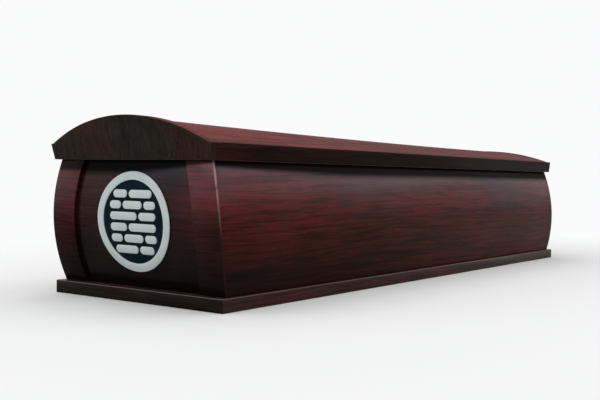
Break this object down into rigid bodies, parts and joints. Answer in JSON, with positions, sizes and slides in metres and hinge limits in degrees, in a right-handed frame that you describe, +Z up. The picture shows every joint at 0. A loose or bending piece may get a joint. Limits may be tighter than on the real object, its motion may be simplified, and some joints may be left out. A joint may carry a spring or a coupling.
{
  "type": "wooden coffin",
  "caption": "Long rectangular wooden coffin with barrel-curved walls on a flat base board, a domed lift-off lid with arched end boards, and a round emblem on its head end.",
  "frame": {"origin": "centre of the base board's underside, on the surface that the coffin stands on", "axes": "+Z up, +Y from the head end to the foot end, +X to the right of someone facing the head end"},
  "size_m": [0.5616, 2.046, 0.442],
  "materials": {
    "body_veneer": "glossy lacquer over dark red-brown veneer, fine grain along the length",
    "end_veneer": "satin lacquer over dark red-brown veneer, fine level grain",
    "lid_veneer": "glossy lacquer over red-brown veneer",
    "lid_end_veneer": "satin lacquer over dark brown veneer, upright grain",
    "base_veneer": "satin lacquer, worn pale along the top edges",
    "emblem_navy": "dark blue-green gloss paint",
    "emblem_white": "white gloss paint"
  },
  "bodies": {
    "root": {"base_board": "base_veneer", "emblem_plate": "emblem_navy", "emblem_ring": "emblem_white", "emblem_row_1_stroke_1": "emblem_white", "emblem_row_1_stroke_2": "emblem_white", "emblem_row_2_stroke_1": "emblem_white", "emblem_row_2_stroke_2": "emblem_white", "emblem_row_2_stroke_3": "emblem_white", "emblem_row_3_stroke_1": "emblem_white", "emblem_row_3_stroke_2": "emblem_white", "emblem_row_4_stroke_1": "emblem_white", "emblem_row_4_stroke_2": "emblem_white", "emblem_row_5_stroke_1": "emblem_white", "emblem_row_5_stroke_2": "emblem_white", "emblem_row_5_stroke_3": "emblem_white", "emblem_row_6_stroke_1": "emblem_white", "emblem_row_6_stroke_2": "emblem_white", "foot_board": "end_veneer", "foot_stile_left": "end_veneer", "foot_stile_right": "end_veneer", "head_board": "end_veneer", "head_stile_left": "end_veneer", "head_stile_right": "end_veneer", "lid_crown": "lid_veneer", "lid_foot_board": "lid_end_veneer", "lid_head_board": "lid_end_veneer", "lid_rail_left": "lid_veneer", "lid_rail_right": "lid_veneer", "side_wall_left": "body_veneer", "side_wall_right": "body_veneer"}
  },
  "joints": []
}
